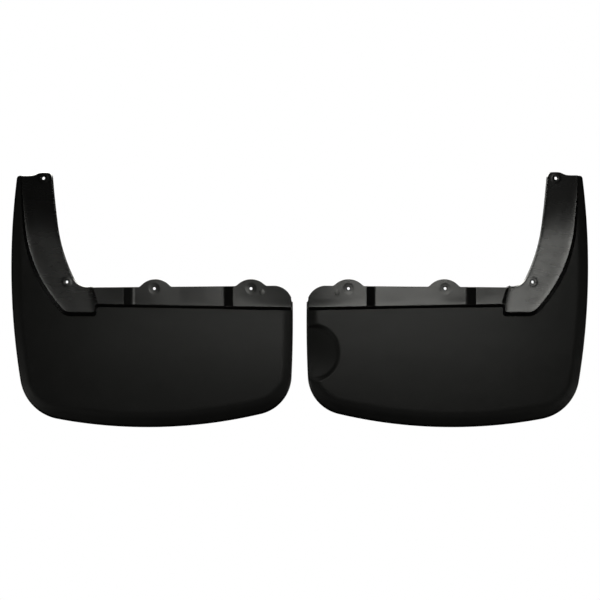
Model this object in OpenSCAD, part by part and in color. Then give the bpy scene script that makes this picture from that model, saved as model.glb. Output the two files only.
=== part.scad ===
// A left and a right moulded mud guard for a wide wheel arch.
// Each guard is a broad panel with a tall fin on its outboard side, a stepped mounting flange with
// two ears along the panel's top, and a raised strip that follows the wheel arch down the fin.
//
// Every shape is drawn flat: X runs outboard from the inboard edge, Y runs up from the lowest
// point, and Z is the depth, with 0 on the panel's front face and plus towards the rear of the
// truck, which is the side that is seen. stand_up() then turns it to +Z up, front facing -Y.

/* [Set] */
// Gap between the two guards
guard_gap = 32; // [10:1:80]
// Wall thickness of every moulded piece
wall = 3; // [2.6:0.1:3.4]

/* [Outline] */
// Inboard edge to the top outboard corner
fin_top_u = 587; // [584:0.5:590]
// Radius of the outboard edge's bow
outboard_r = 1515; // [1490:5:1540]
// Radius of the bottom outboard corner
outboard_corner_r = 98; // [96:1:100]
// Radius of the bottom edge's bow
bottom_r = 1053; // [1040:1:1066]
// Radius of the bottom inboard corner
inboard_corner_r = 84; // [80:1:88]
// Radius of the inboard edge's bow
inboard_r = 2500; // [2400:10:2600]
// Radius of the border that rolls away from the viewer
roll_r = 30; // [26:1:32]

/* [Exhaust dish, right guard only] */
// Radius of the dish where it meets the panel's face
dish_r = 62; // [50:1:70]
// Depth of the dish
dish_depth = 14; // [8:1:18]
// Distance of the dish's centre from the inboard edge
dish_u = 11; // [0:1:30]
// Height of the dish's centre
dish_z = 158; // [140:1:175]

/* [Mounting flange] */
// Height of the flange's lower edge at its inboard end
flange_low = 252.5; // [250:0.5:255]
// Rise of the lower edge from the inboard to the outboard end
flange_rise = 7.5; // [5:0.5:9]
// Height of the flange's top edge at its inboard end
flange_top = 301.5; // [300:0.5:303]
// Fall of the top edge from the inboard to the outboard end
flange_fall = 4; // [2:0.5:5]
// Radius of the flange's top inboard corner
flange_corner_r = 40; // [30:1:44]
// Height of the outer segments' lower edge above the panel
flange_proud = 11; // [10:0.5:12]
// How far the middle segment is set back
joggle = 6; // [4:0.5:6]
// Backward lean of the flange's face, in degrees
flange_lean = 5; // [2:0.5:5]
// Radius of an ear
ear_r = 40; // [36:1:44]
// Height of an ear's tip
ear_tip = 315; // [313:0.5:317]

/* [Arch strip] */
// Height of the strip's face above the panel at its lower end
strip_proud_low = 16; // [15:0.5:18]
// Height of the strip's face above the panel at its top
strip_proud_top = 3; // [3:0.5:4]
// Height of the rounded tab at the strip's top
tab_top = 542.4; // [541:0.2:544]

/* [Mounting holes] */
// Diameter of the four screw holes
hole_d = 6.5; // [5:0.1:7]
// Height of the two ear holes
ear_hole_z = 295; // [293:0.5:297]
// Diameter of the spacer collar behind each hole
collar_d = 16; // [13:0.5:18]
// Distance from the panel's front face back to the collars' seating plane
seat_depth = 8; // [7:0.5:9]

/* [Heat stakes] */
// Diameter of a stake
stake_d = 5; // [4:0.5:6]
// Diameter of a stake's melted head
stake_head_d = 9; // [8:0.5:10]

/* [Hidden] */
$fn = 96;

// The outer edge, from the fin's top down, along the bottom and up the inboard side,
// as a chain of tangent arcs. Each is [radius, turn in degrees].
edge_heading = -82.6;
edge_arcs = [
    [outboard_r, 16.6], [outboard_corner_r, 70.3], [bottom_r, 23.8],
    [inboard_corner_r, 74], [inboard_r, 3.8]
];
fin_top_z = -min([for (p = chain(edge_arcs, [fin_top_u, 0], edge_heading)) p[1]]);
edge_from = [fin_top_u, fin_top_z];

// The strip's outer edge and the arch edge, from the top down
strip_from = [577.6, fin_top_z];
strip_heading = -92.6;
strip_arcs = [[1600, 3.9], [308, 36.3], [25.5, 47.2]];
arch_from = [511.6, fin_top_z - 1.7];
arch_heading = -94.5;
arch_arcs = [[2200, 2.7], [353, 19.3], [34, 63.5]];
strip_foot_z = arc_start(concat(strip_arcs, [[0, 0]]), strip_from, strip_heading, len(strip_arcs))[0][1];

// The strip's lower end: where it stops, the bend in its end edge, and its corner radius
strip_end_u = 421;
strip_bend_z = 262;
strip_end_top_u = 429;
strip_corner_r = 6;
tab_line = [
    [556, fin_top_z], [552, fin_top_z + 0.7], [541, tab_top - 0.8], [536, tab_top],
    [524, tab_top], [518, tab_top - 1], [514, tab_top - 3.5]
];

// How far the panel runs on under the strip and under the flange
strip_lap = 18;
flange_lap = 14;
flange_end_u = 437;
end_wall_h = 12;
step_outboard = [359, 333];
step_inboard = [146, 126];
ear_u = [87.5, 291.5];
ear_hole_u = [88, 294];
strip_holes = [[480, 309], [530, 530]];
pip_at = [63.6, 288];
pip_r = 5;
pip_h = 1.6;

// Where the stakes stand: distances outboard along the flange, and parts of the way round the
// strip's first two outer arcs
flange_stakes = [36, 106, 176, 240, 304, 388];
strip_stakes_along = [[0.55, 0.98], [0.3, 0.55, 0.8, 0.97]];
stake_inset = 10;
stake_head_t = 2;
stake_clearance = 0.1;
over = 1;
run_on = 40;
roll_steps = 6;
front_d = max(strip_proud_low, flange_proud);
mid_depth = (front_d - roll_r) / 2;

// Unit vector to the right of a heading
function right_of(h) = [sin(h), -cos(h)];
function arc_centre(p, h, r) = p + r * right_of(h);

// Start point and heading of arc i in a chain
function arc_start(arcs, from, heading, i) =
    i == 0 ? [from, heading] :
    let (s = arc_start(arcs, from, heading, i - 1), r = arcs[i - 1][0], h = s[1] - arcs[i - 1][1])
    [arc_centre(s[0], s[1], r) - r * right_of(h), h];

// Points along a chain, moved sideways by inset to the right of the way it runs
function chain(arcs, from, heading, inset = 0, step = 3) = [
    for (i = [0 : len(arcs) - 1])
        let (s = arc_start(arcs, from, heading, i), r = arcs[i][0], n = ceil(arcs[i][1] / step) + 2)
        for (k = [0 : n - (i == len(arcs) - 1 ? 0 : 1)])
            arc_centre(s[0], s[1], r) - (r - inset) * right_of(s[1] - arcs[i][1] * k / n)
];

// Height of the flange's lower edge
function flange_low_at(u) = flange_low + flange_rise * u / flange_end_u;

function reversed(list) = [for (i = [len(list) - 1 : -1 : 0]) list[i]];

module stand_up() {
    translate([guard_gap / 2, mid_depth, 0]) rotate([90, 0, 0]) children();
}

// Solid through a stack of outlines with the same number of points, lowest first
module stacked(outlines) {
    n = len(outlines[0]);
    top = (len(outlines) - 1) * n;
    polyhedron(
        points = [for (outline = outlines) for (p = outline) p],
        faces = concat(
            [[for (k = [n - 1 : -1 : 0]) k], [for (k = [0 : n - 1]) top + k]],
            [for (low = [0 : n : top - n]) for (k = [0 : n - 1])
                let (a = low + k, b = low + (k + 1) % n)
                each [[a, b, b + n], [a, b + n, a + n]]]
        )
    );
}

// The outer edge drawn in by inset at a depth, run on straight past both of its ends
function edge_outline(inset, d) =
    let (
        line = chain(edge_arcs, edge_from, edge_heading, inset),
        end = arc_start(concat(edge_arcs, [[0, 0]]), edge_from, edge_heading, len(edge_arcs))[1],
        first = line[0] - run_on * [cos(edge_heading), sin(edge_heading)],
        last = line[len(line) - 1] + run_on * [cos(end), sin(end)]
    )
    [for (p = concat([first], line, [last])) [p[0], p[1], d]];

// Solid behind the panel's face: flat inside, with its border rolled back
module pillow(inset = 0) {
    r = roll_r - inset;
    stacked(concat(
        inset > 0 ? [edge_outline(inset, -roll_r - over)] : [],
        [for (k = [0 : roll_steps]) let (a = 90 * k / roll_steps)
            edge_outline(roll_r - r * cos(a), -roll_r + r * sin(a))]
    ));
}

// Everything inboard of the fin and above the panel, which the panel leaves open
module arch_window() {
    side = [
        for (p = chain(strip_arcs, strip_from, strip_heading, strip_lap))
            if (p[1] > flange_low_at(p[0]) + flange_lap) p
    ];
    foot_u = side[len(side) - 1][0];
    translate([0, 0, -2 * roll_r]) linear_extrude(3 * roll_r) polygon(concat(
        [[side[0][0], tab_top + over]],
        side,
        [[foot_u, flange_low_at(foot_u) + flange_lap], [-over, flange_low + flange_lap], [-over, tab_top + over]]
    ));
}

// The space that the panel fills, with its hollow back
module panel_body() {
    difference() {
        pillow();
        arch_window();
        translate([-over, fin_top_z, -2 * roll_r]) cube([fin_top_u + run_on, run_on + over, 3 * roll_r]);
    }
}

// Ball that presses the dish into the panel, swollen by grow on the back
module dish_ball(grow) {
    ball_r = (dish_r * dish_r + dish_depth * dish_depth) / (2 * dish_depth);
    translate([dish_u, dish_z, ball_r - dish_depth]) sphere(ball_r + grow, $fn = 180);
}

// Centres of the stakes that hold the arch strip
function strip_stakes() = [
    for (i = [0 : len(strip_stakes_along) - 1])
        let (s = arc_start(strip_arcs, strip_from, strip_heading, i), r = strip_arcs[i][0])
        for (t = strip_stakes_along[i])
            arc_centre(s[0], s[1], r) - (r - stake_inset) * right_of(s[1] - strip_arcs[i][1] * t)
];

module stake_holes(points) {
    for (p = points) translate([p[0], p[1], -wall - over])
        cylinder(h = wall + 2 * over, d = stake_d + 2 * stake_clearance);
}

// Stakes from a piece's underside through the panel, with melted heads behind it
module stakes(points, top) {
    for (p = points) {
        translate([p[0], p[1], -wall - stake_head_t]) cylinder(h = stake_head_t, d = stake_head_d);
        translate([p[0], p[1], -wall]) cylinder(h = wall + top, d = stake_d);
    }
}

function flange_stake_points() = [for (u = flange_stakes) [u, flange_low_at(u) + flange_lap / 2]];

module panel(dished) {
    color([0.10, 0.10, 0.10]) stand_up() difference() {
        panel_body();
        if (dished) dish_ball(0);
        difference() {
            pillow(wall);
            if (dished) dish_ball(wall);
        }
        stake_holes(strip_stakes());
        stake_holes(flange_stake_points());
    }
}

// Front view of the flange, without its ears
module flange_face() {
    top_at = function (u) flange_top - flange_fall * u / flange_end_u;
    polygon(concat(
        [[0, flange_low], [flange_end_u, flange_low_at(flange_end_u)], [flange_end_u, top_at(flange_end_u)]],
        [for (a = [90 : 10 : 180]) [flange_corner_r, top_at(flange_corner_r) - flange_corner_r]
            + flange_corner_r * [cos(a), sin(a)]]
    ));
}

module ear_face(u) {
    translate([u, ear_tip - ear_r]) intersection() {
        circle(ear_r);
        translate([-ear_r, 0]) square([2 * ear_r, ear_r]);
    }
}

// Block under the stepped face, thick deep, leaning back from the flange's lower edge
module stepped_block(thick) {
    front = [
        [-over, flange_proud], [step_inboard[1], flange_proud],
        [step_inboard[0], flange_proud - joggle], [step_outboard[1], flange_proud - joggle],
        [step_outboard[0], flange_proud], [flange_end_u + over, flange_proud]
    ];
    back = [for (p = reversed(front)) p - [0, thick]];
    reach = ear_tip - flange_low;
    translate([0, flange_low, 0]) rotate([-flange_lean, 0, 0])
        translate([0, 1.2 * reach, 0]) rotate([90, 0, 0])
        linear_extrude(1.4 * reach) polygon(concat(front, back));
}

// Height of the flange's face above the panel at a point
function flange_face_d(p) =
    let (middle = p[0] > step_inboard[0] && p[0] < step_outboard[1])
    (flange_proud - (middle ? joggle : 0)) / cos(flange_lean)
        - (p[1] - flange_low) * tan(flange_lean);

module flange_rim() {
    intersection() {
        translate([0, 0, -seat_depth]) linear_extrude(seat_depth + flange_proud + over) {
            polygon([
                [0, flange_low], [flange_end_u, flange_low_at(flange_end_u)],
                [flange_end_u, flange_low_at(flange_end_u) + wall], [0, flange_low + wall]
            ]);
            translate([0, flange_low]) square([wall, end_wall_h]);
        }
        stepped_block(2 * roll_r);
    }
}

// Room for the flange's outboard end inside the strip
module flange_space() {
    intersection() {
        stepped_block(2 * roll_r);
        translate([0, flange_low - over, -2 * roll_r])
            cube([flange_end_u + over, ear_tip - flange_low, 3 * roll_r]);
    }
}

module mounting_flange() {
    holes = [for (u = ear_hole_u) [u, ear_hole_z]];
    pip_d = flange_face_d(pip_at);
    color([0.20, 0.20, 0.20]) stand_up() difference() {
        union() {
            intersection() {
                translate([0, 0, -2 * roll_r]) linear_extrude(3 * roll_r) {
                    flange_face();
                    for (u = ear_u) ear_face(u);
                }
                stepped_block(wall);
            }
            difference() {
                flange_rim();
                panel_body();
            }
            for (p = holes) translate([p[0], p[1], -seat_depth])
                cylinder(h = seat_depth + flange_face_d(p) - wall / 2, d = collar_d);
            for (p = flange_stake_points()) stakes([p], flange_face_d(p) - wall / 2);
            translate([pip_at[0], pip_at[1], pip_d - wall / 2])
                cylinder(h = wall / 2 + pip_h, r1 = pip_r, r2 = pip_r / 2);
        }
        for (p = holes) translate([p[0], p[1], -seat_depth - over])
            cylinder(h = seat_depth + front_d + 2 * over, d = hole_d);
    }
}

// Front view of the strip, drawn in by inset on every side
module strip_face(inset) {
    outer = chain(strip_arcs, strip_from, strip_heading, inset);
    arch = chain(arch_arcs, arch_from, arch_heading, -inset);
    r = strip_corner_r;
    corner = [strip_end_u + inset + r, strip_foot_z + inset + r];
    polygon(concat(
        [for (p = tab_line) p - [0, inset]],
        arch,
        [[strip_end_top_u + inset, arch[len(arch) - 1][1]], [strip_end_u + inset, strip_bend_z]],
        [for (a = [180 : 15 : 270]) corner + r * [cos(a), sin(a)]],
        reversed(outer)
    ));
}

// Height of the strip's face above the panel at a height
function strip_face_d(z) =
    strip_proud_low + (strip_proud_top - strip_proud_low) * (z - strip_foot_z) / (tab_top - strip_foot_z);

// Solid below the strip's sloping face, lowered by drop
module strip_wedge(drop) {
    low = -seat_depth - over;
    foot = strip_foot_z - over;
    top = tab_top + over;
    rotate([90, 0, 90]) linear_extrude(fin_top_u) polygon([
        [foot, low], [top, low], [top, strip_face_d(top) - drop], [foot, strip_face_d(foot) - drop]
    ]);
}

module arch_strip() {
    color([0.16, 0.16, 0.16]) stand_up() difference() {
        union() {
            difference() {
                intersection() {
                    translate([0, 0, -seat_depth]) linear_extrude(seat_depth + front_d + over)
                        strip_face(0);
                    strip_wedge(0);
                }
                intersection() {
                    translate([0, 0, -seat_depth - over]) linear_extrude(2 * roll_r) strip_face(wall);
                    strip_wedge(wall);
                }
                panel_body();
                flange_space();
            }
            for (p = strip_holes) translate([p[0], p[1], -seat_depth])
                cylinder(h = seat_depth + strip_face_d(p[1]) - wall / 2, d = collar_d);
            for (p = strip_stakes()) stakes([p], strip_face_d(p[1]) - wall / 2);
        }
        for (p = strip_holes) translate([p[0], p[1], -seat_depth - over])
            cylinder(h = seat_depth + front_d + 2 * over, d = hole_d);
    }
}

module left_panel() mirror([1, 0, 0]) panel(dished = false);
module left_mounting_flange() mirror([1, 0, 0]) mounting_flange();
module left_arch_strip() mirror([1, 0, 0]) arch_strip();
module right_panel() panel(dished = true);
module right_mounting_flange() mounting_flange();
module right_arch_strip() arch_strip();

left_panel();
left_mounting_flange();
left_arch_strip();
right_panel();
right_mounting_flange();
right_arch_strip();
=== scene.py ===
import math

import bpy
import numpy as np
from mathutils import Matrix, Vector
from mathutils.geometry import delaunay_2d_cdt


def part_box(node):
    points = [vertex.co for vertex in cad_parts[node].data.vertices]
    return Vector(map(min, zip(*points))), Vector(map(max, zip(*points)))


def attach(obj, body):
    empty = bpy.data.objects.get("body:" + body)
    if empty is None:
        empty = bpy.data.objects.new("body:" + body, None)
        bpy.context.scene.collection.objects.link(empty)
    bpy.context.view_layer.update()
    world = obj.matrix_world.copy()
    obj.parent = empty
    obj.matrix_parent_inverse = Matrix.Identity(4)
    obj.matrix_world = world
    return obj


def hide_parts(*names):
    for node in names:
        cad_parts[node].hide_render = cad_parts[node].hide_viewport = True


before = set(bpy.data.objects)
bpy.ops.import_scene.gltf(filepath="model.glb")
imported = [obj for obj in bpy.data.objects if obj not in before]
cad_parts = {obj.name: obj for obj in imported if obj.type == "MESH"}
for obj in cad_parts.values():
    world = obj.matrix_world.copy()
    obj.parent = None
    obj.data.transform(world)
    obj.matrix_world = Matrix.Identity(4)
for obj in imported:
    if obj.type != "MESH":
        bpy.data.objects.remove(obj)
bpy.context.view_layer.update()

# ---------------------------------------------------------------- the frame, in millimetres
# Points are (u, z, d): u outboard from the inboard edge, z up, d out of the panel's front face.
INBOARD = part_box("right_panel")[0].x * 1000
PANEL_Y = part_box("right_panel")[0].y * 1000
RIM_D = PANEL_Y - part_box("right_panel")[1].y * 1000
SEAT_D = PANEL_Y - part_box("right_arch_strip")[1].y * 1000
FIN_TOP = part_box("right_panel")[1].z * 1000
TAB_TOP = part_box("right_arch_strip")[1].z * 1000
STRIP_D = PANEL_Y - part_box("right_arch_strip")[0].y * 1000
WALL = 3.0
STRIP_WALL = 2.6

# The right guard's outlines seen from the front, all turning clockwise: a start, a heading in
# degrees, then arcs as (radius, turn in degrees).
EDGE = (
    [587.0, FIN_TOP],
    -82.6,
    [(1515, 16.6), (98, 70.3), (1053, 23.8), (84, 74), (2500, 3.8)],
)
STRIP = ([577.6, FIN_TOP], -92.6, [(1600, 3.9), (308, 36.3), (25.5, 47.2)])
ARCH = ([511.6, FIN_TOP - 1.7], -94.5, [(2200, 2.7), (353, 19.3), (34, 63.5)])
EAR_HOLES = [(88.0, 295.0), (294.0, 295.0)]
STRIP_HOLES = [(480.0, 309.0), (530.0, 530.0)]
HOLE_R = 3.25
# A sheet's face starts this far outside HOLE_R, and its rounded edge then bulges back into the hole.
HOLE_ROOM = 0.3
# Rings of mesh points round a hole, as radii.
HOLE_RINGS = (4.0, 4.7, 5.7, 7.2, 9.0, 11.0)
# The exhaust dish on the right panel: centre u, centre z and radius, how wide its round edge is,
# and the slope of its floor.
DISH = (11.0, 158.0, 62.0)
DISH_WALL = 11.0
DISH_TILT = 0.17

# The small moulded pip beside the flange's inboard hole.
PIP = (63.6, 287.0)
PIP_R = 6.8
PIP_STRETCH = (0.85, 1.15)

FLANGE_END_U = 437
FLANGE_LOW = 252.5
FLANGE_RISE = 7.5
FLANGE_TOP = 301.5
FLANGE_FALL = 4
FLANGE_CORNER_R = 40
FLANGE_CORNER_Z = 261.4
EAR_R = 40
EAR_CENTRES_U = (87.5, 291.5)
EAR_CENTRE_Z = 275
FLANGE_STAKES_U = (36, 106, 176, 240, 304, 388)
# The flange's lip: how far its crest is above its lower edge, its foot below it, and its height.
CREST_UP, FOOT_DOWN, LIP = 2.4, 4.6, 0.32

# How far the panel runs on under the flange and under the strip.
FLANGE_LAP, STRIP_LAP = 14, 18

# Numbers of the strip's three kinds of foot.
ON_PANEL, ON_FLANGE, FREE = 0, 1, 2


def smooth(t):
    """From 0 to 1 with soft ends."""
    t = np.clip(t, 0, 1)
    return t * t * (3 - 2 * t)


def smooth_step(start, end, x):
    """From 0 to 1: it leaves start with a crisp edge and runs softly into end."""
    t = np.clip((x - start) / (end - start), 0, 1)
    return np.where(t < 0.7, 1.25 * t, 1 - (1 - t) ** 2 * 1.39)


def soft_min(a, b, k):
    """The smaller of two heights, blended where they are within k of each other."""
    h = np.clip(0.5 + 0.5 * (b - a) / k, 0, 1)
    return b + (a - b) * h - k * h * (1 - h)


def soft_max(a, b, k):
    return -soft_min(-np.asarray(a), -np.asarray(b), k)


# ---------------------------------------------------------------- chains of tangent arcs
def chain(spec, step, lead=0.0, tail=0.0):
    """Points, headings in degrees and lengths along a chain of arcs that turns clockwise."""
    (x, y), h, arcs = spec
    p = np.array([x, y], float)
    pts, heads = [], []
    if lead:
        n = int(math.ceil(lead / step))
        back = np.array([math.cos(math.radians(h)), math.sin(math.radians(h))])
        for k in range(n, 0, -1):
            pts.append(p - back * lead * k / n)
            heads.append(h)
    for r, turn in arcs:
        a = math.radians(h)
        right = np.array([math.sin(a), -math.cos(a)])
        c = p + r * right
        n = max(2, int(math.ceil(r * math.radians(turn) / step)))
        for k in range(n):
            b = math.radians(h - turn * k / n)
            pts.append(c - r * np.array([math.sin(b), -math.cos(b)]))
            heads.append(h - turn * k / n)
        h -= turn
        b = math.radians(h)
        p = c - r * np.array([math.sin(b), -math.cos(b)])
    pts.append(p)
    heads.append(h)
    if tail:
        n = int(math.ceil(tail / step))
        on = np.array([math.cos(math.radians(h)), math.sin(math.radians(h))])
        for k in range(1, n + 1):
            pts.append(p + on * tail * k / n)
            heads.append(h)
    pts, heads = np.array(pts), np.array(heads)
    run = np.concatenate([[0], np.cumsum(np.linalg.norm(np.diff(pts, axis=0), axis=1))])
    return pts, heads, run


def rights(heads):
    """Unit directions to the right of the headings: inwards on the panel's edge and on the strip's."""
    a = np.radians(heads)
    return np.stack([np.sin(a), -np.cos(a)], 1)


def near(points, line):
    """Distance from each point to a polyline, and where along it the nearest spot is."""
    points = np.asarray(points, float)
    a, b = line[:-1], line[1:]
    ab = b - a
    best = np.full(len(points), 1e9)
    where = np.zeros(len(points))
    for i in range(0, len(points), 2000):
        p = points[i : i + 2000, None, :]
        t = np.clip(((p - a) * ab).sum(2) / (ab * ab).sum(1), 0, 1)
        dist = np.linalg.norm(p - (a + ab * t[..., None]), axis=2)
        k = dist.argmin(1)
        r = np.arange(len(k))
        best[i : i + 2000] = dist[r, k]
        where[i : i + 2000] = k + t[r, k]
    return best, where


def inside(points, loop):
    """Which points lie inside a closed loop."""
    points, loop = np.asarray(points, float), np.asarray(loop, float)
    x, y = points[:, 0][:, None], points[:, 1][:, None]
    x0, y0 = loop[:, 0], loop[:, 1]
    x1, y1 = np.roll(x0, -1), np.roll(y0, -1)
    hit = ((y0 > y) != (y1 > y)) & (x < (x1 - x0) * (y - y0) / (y1 - y0 + 1e-12) + x0)
    return hit.sum(1) % 2 == 1


def spaced(line, step):
    """The same polyline with its points evenly spaced."""
    line = np.asarray(line, float)
    run = np.concatenate([[0], np.cumsum(np.linalg.norm(np.diff(line, axis=0), axis=1))])
    n = max(2, int(round(run[-1] / step)) + 1)
    s = np.linspace(0, run[-1], n)
    return np.stack([np.interp(s, run, line[:, 0]), np.interp(s, run, line[:, 1])], 1)


def circle(centre, r, n):
    a = np.arange(n) * 2 * math.pi / n
    return np.stack([centre[0] + r * np.cos(a), centre[1] + r * np.sin(a)], 1)


def hexes(low, high, step):
    """A grid of staggered rows."""
    row = step * 0.866
    pts = []
    for j, y in enumerate(np.arange(low[1], high[1], row)):
        for x in np.arange(low[0] + (step / 2 if j % 2 else 0), high[0], step):
            pts.append((x, y))
    return np.array(pts)


def fill(loop, holes, guides, grid, gap):
    """Triangles over a flat region. Guide points are kept, grid points only where there is room."""
    loops = [np.asarray(loop, float)] + [np.asarray(h, float) for h in holes]
    fixed = np.concatenate(loops)

    def within(pts):
        keep = inside(pts, loops[0])
        for h in loops[1:]:
            keep &= ~inside(pts, h)
        return pts[keep]

    def clear(pts, others, room):
        if not len(pts):
            return pts
        d = []
        for i in range(0, len(pts), 500):
            d.append(np.linalg.norm(pts[i : i + 500, None] - others[None], axis=2).min(1))
        return pts[np.concatenate(d) > room]

    sets = [fixed]
    for pts, room in guides:
        pts = clear(within(np.asarray(pts, float)), np.concatenate(sets), room)
        sets.append(pts)
    sets.append(clear(within(grid), np.concatenate(sets), gap))
    pts = np.concatenate(sets)
    edges, at = [], 0
    for a in loops:
        edges += [(at + i, at + (i + 1) % len(a)) for i in range(len(a))]
        at += len(a)
    made = delaunay_2d_cdt([Vector(p) for p in pts], edges, [], 0, 1e-5)
    same, added = [], []
    for where, sources in zip(made[0], made[3]):
        if len(sources):
            same.append(min(sources))
        else:
            same.append(len(pts) + len(added))
            added.append(tuple(where))
    out = np.concatenate([pts, added]) if added else pts
    tri = np.array([[same[i] for i in f] for f in made[2]])
    mid = out[tri].mean(1)
    keep = inside(mid, loops[0])
    for h in loops[1:]:
        keep &= ~inside(mid, h)
    tri = tri[keep]
    a, b, c = out[tri[:, 0]], out[tri[:, 1]], out[tri[:, 2]]
    cross = (b - a)[:, 0] * (c - a)[:, 1] - (b - a)[:, 1] * (c - a)[:, 0]
    tri[cross < 0] = tri[cross < 0][:, ::-1]
    return out, [tuple(int(i) for i in t) for t in tri]


# ---------------------------------------------------------------- meshes
def face_normals(verts, faces):
    """Vertex normals, weighted by the area of the faces round each vertex."""
    n = np.zeros_like(verts)
    for size in (3, 4):
        f = np.array([q for q in faces if len(q) == size])
        if not len(f):
            continue
        p = verts[f]
        c = np.cross(p[:, 1] - p[:, 0], p[:, 2] - p[:, 0])
        if size == 4:
            c = c + np.cross(p[:, 2] - p[:, 0], p[:, 3] - p[:, 0])
        for k in range(size):
            np.add.at(n, f[:, k], c)
    return n / np.maximum(np.linalg.norm(n, axis=1), 1e-12)[:, None]


def rim_chain(faces):
    """Directed boundary edges of an open surface."""
    seen = dict.fromkeys((f[k], f[(k + 1) % len(f)]) for f in faces for k in range(len(f)))
    return [e for e in seen if (e[1], e[0]) not in seen]


def slopes(height, flat, step=0.4):
    """Normals of the surface d = height(u, z) at flat points."""
    along_u, along_z = np.array([step, 0]), np.array([0, step])
    du = (height(flat + along_u) - height(flat - along_u)) / (2 * step)
    dz = (height(flat + along_z) - height(flat - along_z)) / (2 * step)
    n = np.column_stack([-du, -dz, np.ones(len(flat))])
    return n / np.linalg.norm(n, axis=1)[:, None]


def sheet(verts, faces, thick, bulge, steps=4, exact=None):
    """Closed sheet behind an open front surface, with rounded edges. Also gives each vertex's normal
    and how close it is to an edge. The first vertices may come with their exact normals."""
    verts = np.asarray(verts, float)
    n = face_normals(verts, faces)
    if exact is not None:
        n[: len(exact)] = exact
    count = len(verts)
    thick = np.broadcast_to(thick, count)[:, None]
    edge = rim_chain(faces)
    out = np.zeros_like(verts)
    for a, b in edge:
        t = verts[b] - verts[a]
        c = np.cross(t, n[a] + n[b])
        c /= max(np.linalg.norm(c), 1e-9)
        out[a] += c
        out[b] += c
    on_rim = sorted({i for e in edge for i in e})
    place = {v: k for k, v in enumerate(on_rim)}
    r = np.array(on_rim)
    c = out[r] / np.maximum(np.linalg.norm(out[r], axis=1), 1e-9)[:, None]
    c -= n[r] * (c * n[r]).sum(1)[:, None]
    c /= np.maximum(np.linalg.norm(c, axis=1), 1e-9)[:, None]
    all_v, all_n = [verts, verts - thick * n], [n, -n]
    wear_and_pip_highlight = [np.zeros(count), np.zeros(count)]
    wear_and_pip_highlight[0][r] = 1
    wear_and_pip_highlight[1][r] = 1
    rows = [r]
    for k in range(1, steps):
        a = math.pi * k / steps
        all_v.append(verts[r] - thick[r] * n[r] * (1 - math.cos(a)) / 2 + bulge * math.sin(a) * c)
        all_n.append(n[r] * math.cos(a) + c * math.sin(a))
        wear_and_pip_highlight.append(np.ones(len(r)))
        rows.append(2 * count + (k - 1) * len(r) + np.arange(len(r)))
    rows.append(count + r)
    out_faces = list(faces) + [tuple(count + i for i in reversed(f)) for f in faces]
    for a, b in edge:
        i, j = place[a], place[b]
        for k in range(steps):
            out_faces.append((int(rows[k][j]), int(rows[k][i]), int(rows[k + 1][i]), int(rows[k + 1][j])))
    return np.concatenate(all_v), out_faces, np.concatenate(all_n), np.concatenate(wear_and_pip_highlight)


def turned(profile, centre, n=40):
    """A ring turned about a depth axis at (u, z), or a plug if its profile starts on the axis.
    The profile is [(radius, depth), ...], and a plug's ends on the axis too."""
    plug = profile[0][0] == 0
    rings = profile[1:-1] if plug else profile
    verts, faces = [], []
    for r, d in rings:
        for k in range(n):
            a = 2 * math.pi * k / n
            verts.append((centre[0] + r * math.cos(a), centre[1] + r * math.sin(a), d))
    m = len(rings)
    for i in range(m - 1 if plug else m):
        on = (i + 1) % m
        for k in range(n):
            j = (k + 1) % n
            faces.append((i * n + k, i * n + j, on * n + j, on * n + k))
    if plug:
        first, last = len(verts), len(verts) + 1
        verts += [(centre[0], centre[1], profile[0][1]), (centre[0], centre[1], profile[-1][1])]
        for k in range(n):
            j = (k + 1) % n
            faces.append((k, first, j))
            faces.append(((m - 1) * n + j, last, (m - 1) * n + k))
    return np.array(verts, float), faces


def build(name, side, verts, faces, material, node, normals=None, wear_and_pip_highlight=None):
    """Turns (u, z, d) millimetres into a mesh in the row frame, mirrored for the left guard."""
    verts = np.asarray(verts, float)
    world = np.stack([side * (INBOARD + verts[:, 0]), PANEL_Y - verts[:, 2], verts[:, 1]], 1) / 1000
    if side < 0:
        faces = [tuple(reversed(f)) for f in faces]
    mesh = bpy.data.meshes.new(name)
    mesh.from_pydata([tuple(p) for p in world], [], faces)
    mesh.update()
    mesh.polygons.foreach_set("use_smooth", [True] * len(mesh.polygons))
    # This attribute holds edge wear from 0 to 1, and from 1 to 2 the pip's painted highlight.
    mark = mesh.attributes.new("wear_and_pip_highlight", "FLOAT", "POINT")
    mark.data.foreach_set("value", (np.zeros(len(verts)) if wear_and_pip_highlight is None else wear_and_pip_highlight).astype(np.float32))
    if normals is not None:
        w = np.stack([side * normals[:, 0], -normals[:, 2], normals[:, 1]], 1)
        w /= np.maximum(np.linalg.norm(w, axis=1), 1e-9)[:, None]
        mesh.normals_split_custom_set_from_vertices([tuple(v) for v in w])
    mesh.materials.append(material)
    obj = bpy.data.objects.new(name, mesh)
    bpy.context.scene.collection.objects.link(obj)
    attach(obj, "root")
    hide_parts(node)


# ---------------------------------------------------------------- the panel's surface
EDGE_PTS, EDGE_HEADS, EDGE_RUN = chain(EDGE, 3.0, lead=60, tail=60)
# Share of the border's width over which the face bends down into its slope.
BEND = 0.6
# The skirt is the border's outer roll: where it starts, how far out it reaches, and how far it turns.
SKIRT_X, SKIRT_REACH, SKIRT_TURN = 4.2, 5.3, math.radians(85)
# Behind the skirt the last rows lean inwards, by this share of the outward lean that it ends with.
SKIRT_LEAN = 0.6
# Points along each row of the border.
AROUND = 470
# The fin's outer top corner is an arc of this radius, measured from this far outside the outline.
FIN_CORNER_R, FIN_CORNER_OUT = 4.5, 0.6
# Rings of mesh points over the dish and just outside it, as radii.
DISH_RINGS = (62.0, 61.0, 59.6, 58.0, 56.3, 54.5, 52.5, 50.3, 48, 45, 41, 63.0, 65, 36, 30, 23, 16, 8)

# The crown: the face falls away to both sides, once more outboard, and below.
CROWN_U, CROWN_HALF, CROWN_FALL = 250, 330, 5.0
OUTBOARD_FROM, OUTBOARD_FALL = 400, 0.00014
BELOW_FROM, BELOW_FALL = 190, 5.5


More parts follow.
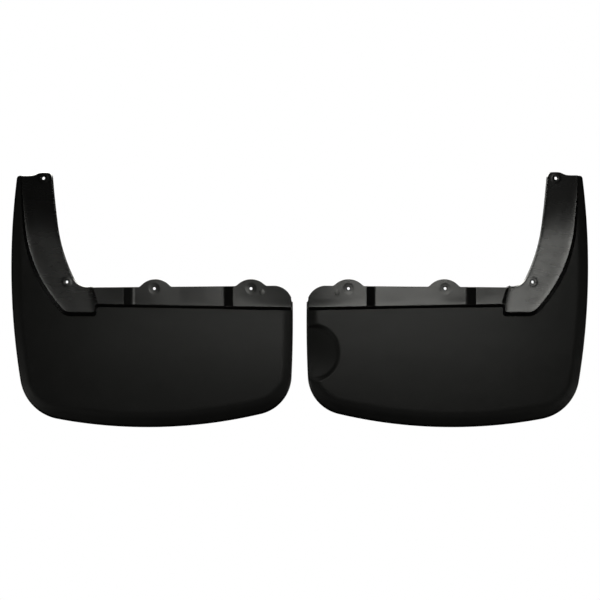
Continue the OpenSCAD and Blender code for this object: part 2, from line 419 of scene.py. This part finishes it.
def border_width(heads):
    """How wide the border is where the edge has these headings."""
    clockwise = [82, 108, 150, 190, 228, 258, 272]
    widths = [25, 26, 34, 37, 34, 29, 28]
    return np.interp(-np.asarray(heads), clockwise, widths)


def border_slope(heads):
    """The border falls away most steeply below, and gently at the sides."""
    clockwise = [90, 125, 150, 185, 215, 240, 262]
    degrees = [13, 12, 14, 20, 22, 17, 12]
    return np.radians(np.interp(-np.asarray(heads), clockwise, degrees))


def crown(u, z):
    """Depth of the panel's face before its border and dish."""
    outboard = OUTBOARD_FALL * np.maximum(u - OUTBOARD_FROM, 0) ** 2
    below = BELOW_FALL * (np.maximum(BELOW_FROM - z, 0) / BELOW_FROM) ** 2
    return -CROWN_FALL * ((u - CROWN_U) / CROWN_HALF) ** 2 - outboard - below


def skirt_radius(slope):
    """The skirt's roll always reaches equally far out, so a gentle border rolls over more tightly."""
    return SKIRT_REACH / (math.sin(SKIRT_TURN) - np.sin(slope))


def roll_depth(x, w, slope):
    """How far the border has dropped at a distance x in from the outer edge."""
    fall = np.tan(slope)
    bend = BEND * w
    y = np.clip((w - x) / bend, 0, 1)
    depth = bend * fall * (y**3 - y**4 / 2)
    depth = depth + np.clip(w - bend - x, 0, np.maximum(w - bend - SKIRT_X, 0)) * fall
    past = np.clip(SKIRT_X - x, 0, None)
    r = skirt_radius(slope)
    s = np.clip(np.sin(slope) + np.minimum(past, SKIRT_REACH) / r, -1, 1)
    depth = depth + r * (np.cos(slope) - np.sqrt(1 - s * s))
    return depth + np.clip(past - SKIRT_REACH, 0, None) * math.tan(SKIRT_TURN)


def dished(u, z, d):
    """The exhaust dish: a round edge, and a floor that deepens towards the inboard side."""
    cu, cz, r = DISH
    across, up = u - cu, z - cz
    share = smooth_step(r, r - DISH_WALL, np.hypot(across, up))
    # shallower towards the top and the bottom
    height = 1 - 0.42 * smooth((up - 4) / 58.0) - 0.45 * smooth(-up / 66.0)
    hollow = DISH_TILT * np.maximum(r - across, 0) * share * height
    top = crown(u, z)
    drop = np.clip(top - d, 0, None)
    return top - (drop**4 + hollow**4) ** 0.25


def panel_d(p, dish):
    """Depth of the panel's front face at points (u, z)."""
    p = np.asarray(p, float)
    x, where = near(p, EDGE_PTS)
    heads = np.interp(where, np.arange(len(EDGE_HEADS)), EDGE_HEADS)
    d = crown(p[:, 0], p[:, 1]) - roll_depth(x, border_width(heads), border_slope(heads))
    return dished(p[:, 0], p[:, 1], d) if dish else d


def flange_low(u):
    """Height of the flange's lower edge."""
    return FLANGE_LOW + FLANGE_RISE * np.asarray(u, float) / FLANGE_END_U


def lap_line():
    """Where the panel ends under the flange and under the strip, from the inboard side to the fin."""
    pts, heads, _ = chain(STRIP, 4.0)
    side = pts + STRIP_LAP * rights(heads)
    side = side[side[:, 1] > flange_low(side[:, 0]) + FLANGE_LAP][::-1]
    u = np.linspace(0, side[0][0], 90)
    return np.concatenate([np.stack([u, flange_low(u) + FLANGE_LAP], 1)[:-1], side])


def border_rows(dish):
    """Rows of points along the border, from the face out to the rim."""
    n = AROUND
    offsets = []
    w_of, slope_of = border_width(EDGE_HEADS), border_slope(EDGE_HEADS)
    for t in np.linspace(0, 1, 9):
        offsets.append(w_of * (1 - BEND * t))
    for t in (0.33, 0.67, 1.0):
        offsets.append(w_of * (1 - BEND) * (1 - t) + SKIRT_X * t)
    for t in np.linspace(0, 1, 8)[1:]:
        a = slope_of + (SKIRT_TURN - slope_of) * t
        offsets.append(SKIRT_X - skirt_radius(slope_of) * (np.sin(a) - np.sin(slope_of)))
    right = rights(EDGE_HEADS)
    rows = []
    for x in offsets:
        line = EDGE_PTS + right * x[:, None]
        half = len(line) // 2
        # the fin's outer top corner is rounded
        into = np.clip(FIN_CORNER_R - (x[0] + FIN_CORNER_OUT), 0, FIN_CORNER_R)
        top_z = FIN_TOP - (FIN_CORNER_R - math.sqrt(FIN_CORNER_R**2 - into**2))
        top = np.interp(-top_z, -line[:half, 1], EDGE_RUN[:half])
        end = np.interp(0, line[half:, 1] - flange_low(line[half:, 0]) - FLANGE_LAP, EDGE_RUN[half:])
        s = np.linspace(top, end, n)
        u, z = np.interp(s, EDGE_RUN, line[:, 0]), np.interp(s, EDGE_RUN, line[:, 1])
        w = np.interp(s, EDGE_RUN, w_of)
        xs = np.interp(s, EDGE_RUN, x)
        d = crown(u, z) - roll_depth(xs, w, np.interp(s, EDGE_RUN, slope_of))
        if dish:
            d = dished(u, z, d)
        rows.append(np.stack([u, z, d], 1))
    last = rows[-1]
    for t in (0.35, 0.7, 1.0):
        inwards = np.stack([np.gradient(last[:, 1]), -np.gradient(last[:, 0])], 1)
        inwards /= np.linalg.norm(inwards, axis=1)[:, None]
        low = last[:, 2] + (RIM_D - last[:, 2]) * t
        move = (last[:, 2] - low) / math.tan(SKIRT_TURN) * SKIRT_LEAN
        rows.append(np.stack([last[:, 0] + inwards[:, 0] * move, last[:, 1] + inwards[:, 1] * move, low], 1))
    return rows


def wall_faces(ring, rows, at, closed):
    """Quads from a ring of vertex numbers through the rows after it. The rows' vertices are numbered
    from at, and closed says whether each row runs all the way round."""
    n = len(ring)
    faces = []
    for _ in rows:
        now = list(range(at, at + n))
        at += n
        for k in range(n if closed else n - 1):
            j = (k + 1) % n
            faces.append((ring[k], ring[j], now[j], now[k]))
        ring = now
    return faces


def facing_out(verts, tri, quads):
    """All faces in one list, with all the quads turned over if the first one looks backwards."""
    p = verts[list(quads[0])]
    if np.cross(p[1] - p[0], p[2] - p[0])[2] < 0:
        quads = [tuple(reversed(f)) for f in quads]
    return list(tri) + quads


def panel(dish):
    rows = border_rows(dish)
    inner = rows[0][:, :2]
    lap = lap_line()
    lap = lap[lap[:, 0] > inner[-1][0] + 2]
    lap = lap[lap[:, 1] < FIN_TOP - 1.5]
    top_u = lap[-1][0] + 0.12
    loop = np.concatenate([inner, lap, [[top_u, FIN_TOP]]])
    guides = []
    if dish:
        for r in DISH_RINGS:
            guides.append((circle(DISH[:2], r, int(2.6 * r) + 8), 0.9))
    flat, tri = fill(loop, [], guides, hexes((20, 20), (600, 545), 7.0), 4.0)
    d = crown(flat[:, 0], flat[:, 1])
    if dish:
        d = dished(flat[:, 0], flat[:, 1], d)
    verts = np.concatenate([np.stack([flat[:, 0], flat[:, 1], d], 1)] + rows[1:])
    # the border's first row is the start of the inner outline
    quads = wall_faces(list(range(AROUND)), rows[1:], len(flat), closed=False)
    return sheet(verts, facing_out(verts, tri, quads), WALL, 0.5)


# ---------------------------------------------------------------- the mounting flange
def flange_top(u):
    """Height of the flange's top edge, with its rounded inboard corner and its two ears."""
    u = np.asarray(u, float)
    r = FLANGE_CORNER_R
    top = FLANGE_TOP - FLANGE_FALL * u / FLANGE_END_U
    corner = FLANGE_CORNER_Z + np.sqrt(np.clip(r**2 - (r - np.minimum(u, r)) ** 2, 0, None))
    top = np.where(u < r, np.minimum(top, corner), top)
    for c in EAR_CENTRES_U:
        ear = EAR_CENTRE_Z + np.sqrt(np.clip(EAR_R**2 - (u - c) ** 2, 0, None))
        top = np.where(np.abs(u - c) < EAR_R - 0.1, soft_max(top, ear, 5.0), top)
    return top


def flange_level(u):
    """Depth of the stepped face at its foot: two joggles set its middle back."""
    u = np.asarray(u, float)
    middle, rise_outboard, rise_inboard = 3.6, 7.9, 8.6
    outboard = rise_outboard * (1 - smooth_step(359.5, 334, u))
    return middle + outboard + rise_inboard * (1 - smooth_step(126.5, 147, u))


def hole_dip(r):
    """How far a face dips at a distance r from the middle of a screw hole."""
    return 0.9 * np.exp(-np.clip(r - HOLE_R, 0, 50) / 0.8)


def pip_distance(u, z):
    return np.hypot((u - PIP[0]) / PIP_STRETCH[0], (z - PIP[1]) / PIP_STRETCH[1])


def flange_d(p, dish):
    """Depth of the flange's front at points (u, z), with its lower wall and its inboard end."""
    p = np.asarray(p, float)
    u, z = p[:, 0], p[:, 1]
    low = flange_low(u)
    crest, foot = low + CREST_UP, low - FOOT_DOWN
    degrees = np.interp(u, [0, 60, 150, 240, 300, FLANGE_END_U], [-1.5, 1.3, 3.4, 3.4, 2.2, 1.8])
    lean = np.tan(np.radians(degrees))
    face = flange_level(u) - (z - low) * lean
    face = face + LIP * np.exp(-np.clip(z - crest, -1, 60) / 4.0)
    face = face + 0.22 * np.sin(u / 23.0) * smooth((z - crest) / 20)
    for c in EAR_HOLES:
        r = np.hypot(u - c[0], z - c[1])
        face = face - hole_dip(r)
        face = face - 0.3 * smooth((13 - r) / 6)
    face = face + 0.5 * smooth((PIP_R - pip_distance(u, z)) / 6.0)
    base = panel_d(p, dish) - 0.5
    wall = base + (z - foot) / (crest - foot) * (flange_level(u) + LIP - base)
    face = soft_min(face, wall, 0.9)
    end = face - 8 + 3.2 * u
    return soft_min(face, end, 0.9)


def flange(dish):
    a = np.radians(np.linspace(0, 90, 22))
    end = FLANGE_END_U
    u = np.concatenate([0.5 + 39.5 * (1 - np.cos(a)), np.arange(42, end, 1.8), [end]])
    top = np.stack([u, flange_top(np.clip(u - 0.5, 0, None)) - 1.2], 1)[::-1]
    low_u = np.concatenate([[0.5, 1.2, 2, 3, 4.5], np.arange(6.5, end, 2.2), [end]])
    bottom = np.stack([low_u, flange_low(low_u) - FOOT_DOWN], 1)
    inboard = np.array([[0.5, z] for z in np.linspace(259.5, 249.5, 9)])
    outboard = np.array([[end, z] for z in np.linspace(258, 295, 14)])
    loop = np.concatenate([bottom, outboard, top, inboard])
    # the same point is never given twice
    keep = np.linalg.norm(loop - np.roll(loop, 1, axis=0), axis=1) > 0.15
    loop = loop[keep]
    guides = []
    for off in (-3.6, -2.2, -0.6, 0.8, 1.8, 2.5, 3.2, 4.2, 5.8, 8.2):
        guides.append((np.stack([low_u, flange_low(low_u) + off], 1), 0.45))
    for e in (1.0, 1.7, 2.4, 3.2, 4.4):
        guides.append((np.stack([np.full(26, e), np.linspace(252, 290, 26)], 1), 0.45))
    holes = []
    for c in EAR_HOLES:
        holes.append(circle(c, HOLE_R + HOLE_ROOM, 36))
        for r in HOLE_RINGS + (13.2,):
            guides.append((circle(c, r, 40), 0.4))
    for r in (0.8, 2.0, 3.2, 4.4, 5.6, PIP_R):
        ring = circle((0, 0), r, 26)
        guides.append((ring * PIP_STRETCH + PIP, 0.4))
    # columns of points over the two joggles
    heights = np.arange(262, 300, 3.0)
    for x in (123.5, 125.2, 126, 126.5, 127, 128, 130, 133, 137, 141, 144, 147, 149.5,
              331, 334, 337, 341, 346, 351, 355, 358, 359, 359.5, 360, 361, 363):
        guides.append((np.stack([np.full(len(heights), x), heights], 1), 0.6))
    guides.append((top - [0, 1.2], 0.6))
    flat, tri = fill(loop, holes, guides, hexes((1, 250), (436, 318), 4.2), 2.2)
    d = flange_d(flat, dish)
    exact = slopes(lambda p: flange_d(p, dish), flat)
    above = flat[:, 1] - flange_low(flat[:, 0])
    thick = WALL - 1.5 * smooth((5 - above) / 5)
    verts, faces, normals, wear_and_pip_highlight = sheet(np.column_stack([flat, d]), tri, thick, 1.2, exact=exact)
    # the pip is painted pale, a painted highlight for the light on its dome; the back of the sheet there has
    # a depth of about 9 or less
    pip = smooth((PIP_R - pip_distance(verts[:, 0], verts[:, 1])) / 3.0) * (verts[:, 2] > 9)
    return verts, faces, normals, np.maximum(wear_and_pip_highlight, 2 * pip)


# ---------------------------------------------------------------- the arch strip
STRIP_PTS = chain(STRIP, 2.0)[0]
ARCH_PTS = chain(ARCH, 2.0)[0]
STRIP_FOOT = STRIP_PTS[-1][1]
# The strip's lower end: where it stands, its corner's radius, and where it bends and ends above.
END_U, END_R = 421.0, 5.0
END_BEND_Z, END_TOP_U = 262, 429


def end_corner():
    """The squared lower end's small corner, and how steeply it runs there."""
    a = np.radians(np.arange(12, 91, 12))
    u = END_U + END_R - END_R * np.sin(a)
    z = STRIP_FOOT + END_R - END_R * np.cos(a)
    return np.stack([u, z], 1), np.cos(a)


CREST = np.concatenate(
    [STRIP_PTS, [[END_U + END_R, STRIP_FOOT]], end_corner()[0], [[END_U, END_BEND_Z], [END_TOP_U, 297]]]
)


def strip_face(p):
    """Depth of the strip's face at points (u, z)."""
    p = np.asarray(p, float)
    x = np.clip((TAB_TOP - p[:, 1]) / (TAB_TOP - STRIP_FOOT), 0, 1)
    crest, _ = near(p, CREST)
    arch, _ = near(p, ARCH_PTS)
    d = 3.0 + (STRIP_D - 1.5) * x**1.5 + 1.6 * (1 - x) ** 2.5
    twist = np.tan(np.radians(-1.5 + 5.5 * smooth((p[:, 1] - 388) / 105)))
    middle = np.interp(-p[:, 1], -ARCH_PTS[:, 1], np.maximum(ARCH_PTS[:, 0], 470)) + 28
    d = d - (p[:, 0] - middle) * twist
    d = d + 0.4 * np.exp(-crest / 3.6) * smooth(x * 4) + 0.25 * np.exp(-arch / 1.6)
    for c in STRIP_HOLES:
        r = np.hypot(p[:, 0] - c[0], p[:, 1] - c[1])
        d = d - hole_dip(r) + 0.3 * smooth((12 - r) / 5)
    return d


def strip_loop():
    """The strip's crest line, the directions out of it, how far its wall runs out to its foot, and
    whether that foot is on the panel, on the flange or a free edge."""
    outer = chain(STRIP, 3.0)[0]
    heights = [243, 262, 330, 380, 430, 480, 525, 545]
    band = np.interp(outer[:, 1], heights, [9.3, 10.4, 10.4, 8.4, 6.4, 4.2, 1.7, 1.2])
    foot_line = spaced([outer[-1], [END_U + END_R, STRIP_FOOT]], 3.0)[1:]
    corner, flatness = end_corner()
    end_line = [[END_U, STRIP_FOOT + END_R], [END_U, END_BEND_Z], [END_TOP_U, ARCH_PTS[-1][1]]]
    end = spaced(end_line, 2.5)[1:]
    end_band = np.interp(end[:, 1], [243, 251, 257, 270, 296], [1.2, 1.2, 9.5, 9.5, 6.5])
    arch = chain(ARCH, 3.0)[0][::-1]
    bridge = spaced([[END_TOP_U, arch[0][1]], arch[0]], 2.5)[1:-1]
    tab = spaced(
        [arch[-1], [513.2, TAB_TOP - 4.5], [515.5, TAB_TOP - 1.6], [520, TAB_TOP - 0.3], [527, TAB_TOP],
         [535, TAB_TOP - 0.1], [541, TAB_TOP - 1.2], [547, FIN_TOP + 2.6], [552, FIN_TOP + 1.0],
         [557, FIN_TOP + 0.2], [563, FIN_TOP], [577.2, FIN_TOP]], 2.5)[1:-1]
    parts = [
        (outer, band, ON_PANEL),
        (foot_line, np.full(len(foot_line), 9.3), ON_PANEL),
        (corner, 9.2 * flatness + 1.2, ON_PANEL),
        (end, end_band, ON_FLANGE),
        (bridge, np.full(len(bridge), 1.2), FREE),
        (arch, np.full(len(arch), 1.2), FREE),
        (tab, np.full(len(tab), 1.0), FREE),
    ]
    pts = np.concatenate([q[0] for q in parts])
    bands = np.concatenate([q[1] for q in parts])
    kinds = np.concatenate([np.full(len(q[0]), q[2]) for q in parts])
    keep = np.linalg.norm(pts - np.roll(pts, 1, axis=0), axis=1) > 0.3
    pts, bands, kinds = pts[keep], bands[keep], kinds[keep]
    ahead, behind = np.roll(pts, -1, axis=0), np.roll(pts, 1, axis=0)
    t = ahead - behind
    t /= np.linalg.norm(t, axis=1)[:, None]
    out = np.stack([-t[:, 1], t[:, 0]], 1)
    for _ in range(2):
        out = (np.roll(out, 1, axis=0) + 2 * out + np.roll(out, -1, axis=0)) / 4
        out /= np.linalg.norm(out, axis=1)[:, None]
        bands = (np.roll(bands, 1) + 2 * bands + np.roll(bands, -1)) / 4
    free = (kinds == FREE).astype(float)
    for _ in range(2):
        free = (np.roll(free, 1) + 2 * free + np.roll(free, -1)) / 4
    # the free edge's crest stands back by this, and its wall is that much wider
    back = 0.8
    pts = pts - back * free[:, None] * out
    bands = bands + back * free
    level = (kinds == ON_FLANGE) & (pts[:, 1] > 252)
    out[level] = [-1, 0]
    up = (kinds == FREE) & (pts[:, 0] < 438)
    out[up] = [0, 1]
    return pts, out, bands, kinds


def strip_base(foot, pts, kinds, dish):
    """Depth that each point of the strip's wall comes down to."""
    under_panel = panel_d(foot, dish) - 0.6
    over_flange = np.where(foot[:, 1] > flange_low(foot[:, 0]) - 1, flange_d(foot, dish) - 0.6, -99)
    under_flange = np.maximum(under_panel, over_flange)
    beside_flange = np.where(foot[:, 0] < FLANGE_END_U - 1, under_flange, -99)
    on_panel = np.maximum(under_panel, beside_flange)
    base = np.where(kinds == ON_PANEL, on_panel, np.where(kinds == ON_FLANGE, under_flange, SEAT_D + 1.0))
    free = kinds == FREE
    base[free] = np.where(pts[free][:, 1] > FIN_TOP - 1, SEAT_D + 3.0, SEAT_D + 1.0)
    for _ in range(2):
        soft = (np.roll(base, 1) + 2 * base + np.roll(base, -1)) / 4
        base = np.where(free, soft, np.minimum(soft, base))
    return base


def strip(dish):
    pts, out, bands, kinds = strip_loop()
    insets = (4.5, 2.6, 1.4, 0.7, 0.25)
    ring_at = [pts - out * inset for inset in insets]
    holes, guides = [], []
    for c in STRIP_HOLES:
        holes.append(circle(c, HOLE_R + HOLE_ROOM, 36))
        for r in HOLE_RINGS + (13.0,):
            guides.append((circle(c, r, 40), 0.4))
    flat, tri = fill(ring_at[0], holes, guides, hexes((415, 240), (585, 545), 4.5), 2.4)
    exact = slopes(strip_face, np.concatenate([flat] + ring_at[1:4]))
    rows = []
    for line, inset in zip(ring_at[1:], insets[1:]):
        round_off = max(1.0 - inset, 0)
        rows.append(np.column_stack([line, strip_face(line) - 0.45 * round_off**2]))
    crest = strip_face(pts) - 0.5
    base = strip_base(pts + out * bands[:, None], pts, kinds, dish)
    for t in (0.0, 0.1, 0.35, 0.65, 0.9, 1.0):
        line = pts + out * (bands * t)[:, None]
        drop = t if t in (0.0, 1.0) else t + 0.03
        rows.append(np.column_stack([line, crest + (base - crest) * drop]))
    verts = np.concatenate([np.column_stack([flat, strip_face(flat)])] + rows)
    quads = wall_faces(list(range(len(pts))), rows, len(flat), closed=True)
    return sheet(verts, facing_out(verts, tri, quads), STRIP_WALL, 0.3, exact=exact)


# ---------------------------------------------------------------- what is behind: collars and stakes
# The strip's stakes stand this far in from its edge.
STAKE_INSET = 10


def collar(centre, top):
    """The tube behind a screw hole, down to the plane that it seats on."""
    r = 8.0
    profile = [
        (r - 0.25, top), (r, SEAT_D + 0.9), (r - 0.25, SEAT_D + 0.25), (r - 0.9, SEAT_D),
        (HOLE_R + 0.9, SEAT_D), (HOLE_R + 0.25, SEAT_D + 0.25), (HOLE_R, SEAT_D + 0.9), (HOLE_R + 0.1, top),
    ]
    return turned(profile, centre)


def stake(centre, behind, top):
    """A stake through the panel, with its melted head behind it."""
    profile = [
        (0, top), (2.5, top), (2.5, behind + 0.4), (4.3, behind + 0.3), (4.5, behind - 0.5),
        (4.1, behind - 1.5), (2.9, behind - 2.1), (1.2, behind - 2.0), (0, behind - 1.9),
    ]
    return turned(profile, centre, 32)


def joined(parts):
    """Several meshes as one."""
    verts, faces, at = [], [], 0
    for v, f in parts:
        verts.append(v)
        faces += [tuple(i + at for i in q) for q in f]
        at += len(v)
    return np.concatenate(verts), faces


def strip_stakes():
    """Places of the strip's stakes: given shares of its first two arcs, and set in from its edge."""
    out = []
    pts, heads, run = chain(STRIP, 1.0)
    lengths = np.cumsum([0] + [r * math.radians(t) for r, t in STRIP[2]])
    for i, parts in enumerate([[0.55, 0.98], [0.3, 0.55, 0.8, 0.97]]):
        for t in parts:
            s = lengths[i] + (lengths[i + 1] - lengths[i]) * t
            p = np.array([np.interp(s, run, pts[:, 0]), np.interp(s, run, pts[:, 1])])
            h = np.interp(s, run, heads)
            out.append(p + STAKE_INSET * rights(np.array([h]))[0])
    return out


# ---------------------------------------------------------------- materials
# Pale colour painted on the pip: a painted highlight for the light on its small dome, not a colour of the
# plastic.
PIP_HIGHLIGHT_COLOUR = (0.2, 0.2, 0.195)


def plastic(name, dark, light, rough, rough_low, grain, grain_size, worn_colour):
    """Moulded black plastic: two tones, streaky roughness, fine grain, slow waves, scuffed edges and a pale
    painted highlight on the pip.
    """
    mat = bpy.data.materials.new(name)
    mat.use_nodes = True
    nodes, links = mat.node_tree.nodes, mat.node_tree.links
    nodes.clear()
    out = nodes.new("ShaderNodeOutputMaterial")
    bsdf = nodes.new("ShaderNodeBsdfPrincipled")
    links.new(bsdf.outputs[0], out.inputs[0])
    coord = nodes.new("ShaderNodeTexCoord")

    def noise(scale, detail, roughness=0.5, stretch=None):
        n = nodes.new("ShaderNodeTexNoise")
        n.inputs["Scale"].default_value = scale
        n.inputs["Detail"].default_value = detail
        n.inputs["Roughness"].default_value = roughness
        if stretch:
            m = nodes.new("ShaderNodeMapping")
            m.inputs["Scale"].default_value = stretch
            links.new(coord.outputs["Object"], m.inputs[0])
            links.new(m.outputs[0], n.inputs["Vector"])
        else:
            links.new(coord.outputs["Object"], n.inputs["Vector"])
        return n

    def spread(source, a, b, c, d):
        m = nodes.new("ShaderNodeMapRange")
        m.inputs[1].default_value, m.inputs[2].default_value = a, b
        m.inputs[3].default_value, m.inputs[4].default_value = c, d
        links.new(source, m.inputs[0])
        return m.outputs[0]

    def mixed(fac, one, two):
        m = nodes.new("ShaderNodeMix")
        m.data_type = "RGBA"
        links.new(fac, m.inputs[0])
        for socket, value in ((m.inputs[6], one), (m.inputs[7], two)):
            if isinstance(value, tuple):
                socket.default_value = (*value, 1)
            else:
                links.new(value, socket)
        return m.outputs[2]

    broad = noise(5.5, 3, 0.55)
    cloud = noise(38, 4, 0.6)
    flow = noise(60, 3, 0.6, (0.18, 1, 1.0))
    speck = noise(420, 2, 0.7)
    tone = mixed(spread(broad.outputs[0], 0.35, 0.65, 0, 1), dark, light)
    tone2 = mixed(spread(cloud.outputs[0], 0.3, 0.75, 0, 0.35), tone, tuple(0.6 * c for c in dark))
    # The attribute read here is edge wear, and on the pip a painted highlight.
    wear_and_pip_highlight = nodes.new("ShaderNodeAttribute")
    wear_and_pip_highlight.attribute_name = "wear_and_pip_highlight"
    scuff = nodes.new("ShaderNodeMath")
    scuff.operation = "MULTIPLY"
    links.new(wear_and_pip_highlight.outputs["Fac"], scuff.inputs[0])
    links.new(spread(speck.outputs[0], 0.45, 0.7, 0, 0.7), scuff.inputs[1])
    scuffed = mixed(scuff.outputs[0], tone2, worn_colour)
    # Where the attribute runs from 1 to 2, on the pip, the colour turns to the pale painted highlight.
    colour = mixed(spread(wear_and_pip_highlight.outputs["Fac"], 1, 2, 0, 1), scuffed, PIP_HIGHLIGHT_COLOUR)
    links.new(colour, bsdf.inputs["Base Color"])
    r1 = spread(flow.outputs[0], 0.3, 0.7, rough_low, rough)
    r2 = nodes.new("ShaderNodeMath")
    r2.operation = "ADD"
    links.new(r1, r2.inputs[0])
    links.new(spread(scuff.outputs[0], 0, 1, 0, 0.12), r2.inputs[1])
    links.new(r2.outputs[0], bsdf.inputs["Roughness"])
    fine = noise(grain_size, 2, 0.6)
    wave = noise(24, 2, 0.5)
    b1 = nodes.new("ShaderNodeBump")
    b1.inputs["Strength"].default_value = grain
    b1.inputs["Distance"].default_value = 0.00025
    links.new(fine.outputs[0], b1.inputs["Height"])
    b2 = nodes.new("ShaderNodeBump")
    b2.inputs["Strength"].default_value = 0.25
    b2.inputs["Distance"].default_value = 0.0012
    links.new(wave.outputs[0], b2.inputs["Height"])
    links.new(b1.outputs[0], b2.inputs["Normal"])
    links.new(b2.outputs[0], bsdf.inputs["Normal"])
    return mat


PANEL_MAT = plastic(
    "panel_black", dark=(0.006, 0.006, 0.0057), light=(0.009, 0.009, 0.0085),
    rough=0.39, rough_low=0.36, grain=0.4, grain_size=1500, worn_colour=(0.04, 0.04, 0.038))
FLANGE_MAT = plastic(
    "flange_black", dark=(0.004, 0.004, 0.0038), light=(0.006, 0.006, 0.0057),
    rough=0.31, rough_low=0.29, grain=0.03, grain_size=900, worn_colour=(0.075, 0.075, 0.072))
STRIP_MAT = plastic(
    "strip_black", dark=(0.004, 0.004, 0.0038), light=(0.006, 0.006, 0.0057),
    rough=0.28, rough_low=0.262, grain=0.03, grain_size=900, worn_colour=(0.06, 0.06, 0.058))

# ---------------------------------------------------------------- the two guards
for hand, side in (("left", -1), ("right", 1)):
    dish = hand == "right"
    v, f, n, w = panel(dish)
    build(hand + "_panel_skin", side, v, f, PANEL_MAT, hand + "_panel", n, w)
    v, f, n, w = flange(dish)
    flange_node = hand + "_mounting_flange"
    build(hand + "_flange_shell", side, v, f, FLANGE_MAT, flange_node, n, w)
    v, f, n, w = strip(dish)
    build(hand + "_strip_shell", side, v, f, STRIP_MAT, hand + "_arch_strip", n, w)
    ears = np.array(EAR_HOLES)
    tops = flange_d(ears + [0, 9.0], dish) - 1.6
    v, f = joined([collar(c, t) for c, t in zip(EAR_HOLES, tops)])
    build(hand + "_flange_collars", side, v, f, FLANGE_MAT, flange_node)
    holes = np.array(STRIP_HOLES)
    tops = strip_face(holes + [0, -8.0]) - 1.6
    v, f = joined([collar(c, t) for c, t in zip(STRIP_HOLES, tops)])
    build(hand + "_strip_collars", side, v, f, STRIP_MAT, hand + "_arch_strip")
    spots = np.array([(u, float(flange_low(u)) + 7) for u in FLANGE_STAKES_U])
    backs, tops = panel_d(spots, dish) - WALL, flange_d(spots, dish) - 1.5
    v, f = joined([stake(c, b, t) for c, b, t in zip(spots, backs, tops)])
    build(hand + "_flange_stakes", side, v, f, FLANGE_MAT, flange_node)
    spots = np.array(strip_stakes())
    backs, tops = panel_d(spots, dish) - WALL, strip_face(spots) - 1.3
    v, f = joined([stake(c, b, t) for c, b, t in zip(spots, backs, tops)])
    build(hand + "_strip_stakes", side, v, f, STRIP_MAT, hand + "_arch_strip")

# ---------------------------------------------------------------- stage, light and camera
# The floor's height, how far it reaches to the sides and the front, and how far to the back.
FLOOR_Z, FLOOR_SIDE, FLOOR_BACK = -1.7, 14, 12
floor_mesh = bpy.data.meshes.new("floor")
floor_corners = [
    (-FLOOR_SIDE, -FLOOR_SIDE, FLOOR_Z),
    (FLOOR_SIDE, -FLOOR_SIDE, FLOOR_Z),
    (FLOOR_SIDE, FLOOR_BACK, FLOOR_Z),
    (-FLOOR_SIDE, FLOOR_BACK, FLOOR_Z),
]
floor_mesh.from_pydata(floor_corners, [], [(0, 1, 2, 3)])
floor = bpy.data.objects.new("floor", floor_mesh)
bpy.context.scene.collection.objects.link(floor)
pale = bpy.data.materials.new("pale_floor")
pale.use_nodes = True
shader = pale.node_tree.nodes["Principled BSDF"]
shader.inputs["Base Color"].default_value = (0.86, 0.86, 0.86, 1)
shader.inputs["Roughness"].default_value = 0.9
shader.inputs["Emission Color"].default_value = (1, 1, 1, 1)
shader.inputs["Emission Strength"].default_value = 1.0
floor_mesh.materials.append(pale)
floor.visible_glossy = False
floor.visible_diffuse = False

world = bpy.data.worlds.new("studio")
bpy.context.scene.world = world
world.use_nodes = True
world.node_tree.nodes["Background"].inputs[0].default_value = (1, 1, 1, 1)
world.node_tree.nodes["Background"].inputs[1].default_value = 1.0
world.cycles_visibility.diffuse = False
world.cycles_visibility.glossy = False


def softbox(name, at, aim, size, power):
    """A rectangular light at a place, aimed at another, with its size in metres and power in watts."""
    light = bpy.data.lights.new(name, "AREA")
    light.shape = "RECTANGLE"
    light.size, light.size_y = size
    light.energy = power
    light.color = (1, 1, 0.95)
    obj = bpy.data.objects.new(name, light)
    obj.location = at
    way = Vector(aim) - Vector(at)
    obj.rotation_mode = "QUATERNION"
    obj.rotation_quaternion = way.to_track_quat("-Z", "Y")
    bpy.context.scene.collection.objects.link(obj)


softbox("key", (0.25, -3.5, 0.9), (0.1, 0, 0.28), (0.5, 0.4), 14.5)
softbox("top", (0.1, -0.3, 2.4), (0, 0, 0.2), (1.8, 1.0), 14)
softbox("below", (0.0, -1.9, -1.2), (0, 0, 0.1), (3.5, 0.8), 1.2)
for way, power in ((-1, 10), (1, 7)):
    softbox("front_side", (way * 3.08, -2.16, -1.17), (0, 0, 0.2), (1.0, 1.0), power)
    softbox("back_side", (way * 1.8, 1.8, -0.4), (0, 0, 0.2), (1.2, 1.0), 10)
softbox("behind", (-0.4, 1.7, 1.3), (0, 0, 0.25), (1.6, 1.2), 30)

# The picture is 600 pixels wide, at 2.131 mm to a pixel on the panels' front face.
FRAME_W = 600 * 0.002131
SENSOR, LENS = 36, 200
camera = bpy.data.cameras.new("camera")
camera.sensor_width = SENSOR
camera.lens = LENS
cam = bpy.data.objects.new("camera", camera)
cam.location = (0.0006, PANEL_Y / 1000 - FRAME_W / 2 / (SENSOR / 2 / LENS), 0.2706)
cam.rotation_euler = (math.pi / 2, 0, 0)
camera.clip_end = 60
bpy.context.scene.collection.objects.link(cam)
bpy.context.scene.camera = cam
bpy.context.scene.view_settings.view_transform = "Standard"
